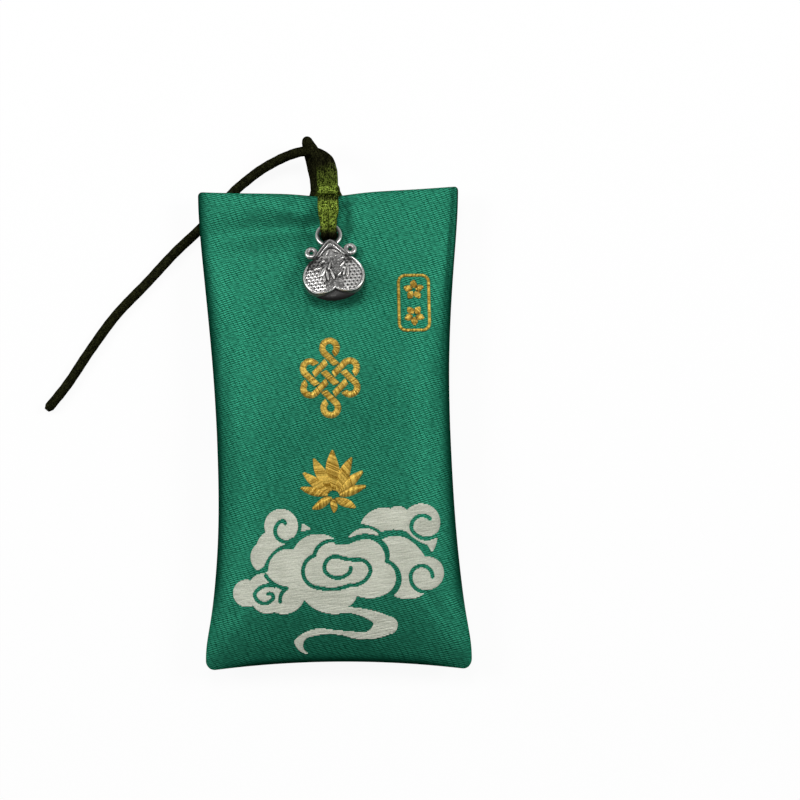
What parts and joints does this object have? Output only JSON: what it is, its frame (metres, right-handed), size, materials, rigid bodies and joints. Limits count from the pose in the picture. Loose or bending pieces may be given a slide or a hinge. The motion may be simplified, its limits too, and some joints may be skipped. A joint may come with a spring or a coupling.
{
  "type": "amulet pouch",
  "caption": "Small stuffed satin amulet pouch closed by a hitched cord, with a hinged cast metal charm hanging at the mouth and a folded paper slip inside.",
  "frame": {"origin": "on the table, under the middle of the pouch as it lies on its back", "axes": "+X across the pouch, +Y from the base to the mouth, +Z out of the embroidered front"},
  "size_m": [0.0975, 0.1214, 0.0192],
  "materials": {
    "satin": "emerald green satin weave with a soft sheen",
    "backing": "matt non-woven backing",
    "wadding": "loose white fibre",
    "paper": "plain yellow paper",
    "cord": "olive satin cord",
    "silver": "antique silver casting with dark recesses",
    "white_thread": "off-white embroidery thread, laid flat",
    "gold_thread": "golden rayon embroidery thread with a gloss"
  },
  "bodies": {
    "pouch": {"front_panel": "satin", "back_panel": "satin", "front_backing": "backing", "back_backing": "backing", "wadding_pad": "wadding", "talisman_slip": "paper", "cord_hitch": "cord", "long_tail": "cord", "short_tail": "cord"},
    "charm": {"charm_ring": "silver", "charm_casting": "silver"}
  },
  "joints": [
    {"name": "charm_lift", "type": "hinge", "parent": "pouch", "child": "charm", "pos_m": [-0.00025, 0.047, 0.00877], "axis": [-1, 0, 0], "range_deg": [0, 95]}
  ]
}
